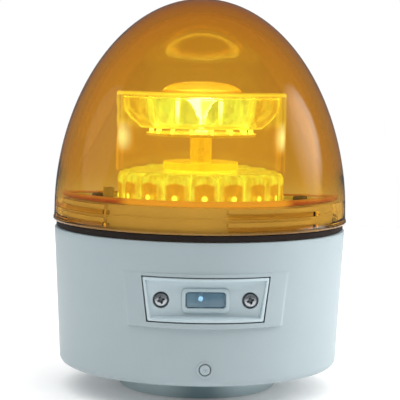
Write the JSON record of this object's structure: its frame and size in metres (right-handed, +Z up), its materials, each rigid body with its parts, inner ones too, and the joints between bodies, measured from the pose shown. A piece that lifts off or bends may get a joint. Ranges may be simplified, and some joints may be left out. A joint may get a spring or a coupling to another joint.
{
  "type": "battery beacon",
  "caption": "Battery warning beacon: tapered grey housing with a magnet foot, bayonet-mounted egg-shaped amber dome over an LED lamp unit.",
  "frame": {"origin": "centre of the magnet foot's bottom face", "axes": "+Z up through the dome's crown, -Y towards the front panel, +X to the right of the front panel"},
  "size_m": [0.1192, 0.1192, 0.1577],
  "materials": {
    "battery_tray": "black moulded plastic",
    "black_part": "black moulded part",
    "board": "green circuit board",
    "capacitor": "sleeved aluminium can",
    "cell": "steel can with a printed-free dark sleeve",
    "coil": "ferrite drum",
    "collar_deck": "pale plastic, seen orange through the dome",
    "collar_ring_seal": "red silicone",
    "cover_gasket": "black rubber foam",
    "dark_steel": "dark passivated steel",
    "dome": "clear amber polycarbonate, polished",
    "dome_seal": "black rubber",
    "housing": "light cool grey moulded plastic, fine satin texture",
    "lamp_plastic": "clear plastic, seen yellow when lit",
    "lead_black": "black insulation",
    "lead_red": "red insulation",
    "lead_white": "white insulation",
    "led": "LED package, emissive amber when lit",
    "lens_shade": "clear plastic",
    "light_sensor": "milky white sensor body",
    "magnet_cup": "bright zinc-plated steel",
    "magnet_pad": "black rubber",
    "magnet_ring": "dark sintered ferrite",
    "mode_knob": "white moulded knob",
    "power_button": "same light grey plastic as the housing",
    "sensor_window": "blue-grey clear plastic",
    "service_cover": "same light grey plastic as the housing",
    "steel": "bright plated steel",
    "white_board": "white solder mask"
  },
  "bodies": {
    "base": {"housing": "housing", "collar_deck": "collar_deck", "collar_ring_seal": "collar_ring_seal", "magnet_cup": "magnet_cup", "magnet_ring": "magnet_ring", "magnet_pad": "magnet_pad", "magnet_bolt": "steel", "magnet_nut": "steel", "service_cover": "service_cover", "cover_gasket": "cover_gasket", "sensor_window": "sensor_window", "cover_screw_left": "steel", "cover_screw_right": "steel", "sensor_board": "board", "light_sensor": "light_sensor", "button_switch": "black_part", "button_board": "board", "battery_tray": "battery_tray", "cell_front": "cell", "cell_rear": "cell", "spring_contact_left": "steel", "spring_contact_right": "steel", "link_plate": "steel", "positive_plate": "steel", "negative_plate": "steel", "main_board": "board", "driver_chip": "black_part", "capacitor": "capacitor", "coil": "coil", "positive_lead": "lead_red", "negative_lead": "lead_black", "lamp_lead": "lead_white", "sensor_lead": "lead_white", "button_lead": "lead_white", "mode_lead": "lead_white", "lower_led_board": "white_board", "lower_led_01": "led", "lower_led_02": "led", "lower_led_03": "led", "lower_led_04": "led", "lower_led_05": "led", "lower_led_06": "led", "lower_led_07": "led", "lower_led_08": "led", "lower_led_09": "led", "lower_led_10": "led", "lower_lens": "lamp_plastic", "platform_disc": "lamp_plastic", "led_post": "lamp_plastic", "upper_led_board": "white_board", "upper_led": "led", "upper_lens": "lamp_plastic", "lens_shade": "lens_shade", "deck_screw_left": "dark_steel", "deck_screw_right": "dark_steel", "mode_switch": "black_part"},
    "dome_seal": {"dome_seal": "dome_seal"},
    "dome": {"dome": "dome"},
    "power_button": {"power_button": "power_button"},
    "mode_knob": {"mode_knob": "mode_knob"}
  },
  "joints": [
    {"name": "dome_twist", "type": "hinge", "parent": "base", "child": "dome_seal", "pos_m": [0, 0, 0.0653], "axis": [0, 0, 1], "range_deg": [0, 45]},
    {"name": "dome_lift", "type": "slide", "parent": "dome_seal", "child": "dome", "axis": [0, 0, 1], "range_m": [0, 0.1]},
    {"name": "power_button_press", "type": "slide", "parent": "base", "child": "power_button", "axis": [0, 1, 0], "range_m": [0, 0.0008], "stiffness_N_per_m": 800},
    {"name": "mode_knob_slide", "type": "slide", "parent": "base", "child": "mode_knob", "axis": [0, -1, 0], "range_m": [0, 0.004]}
  ]
}
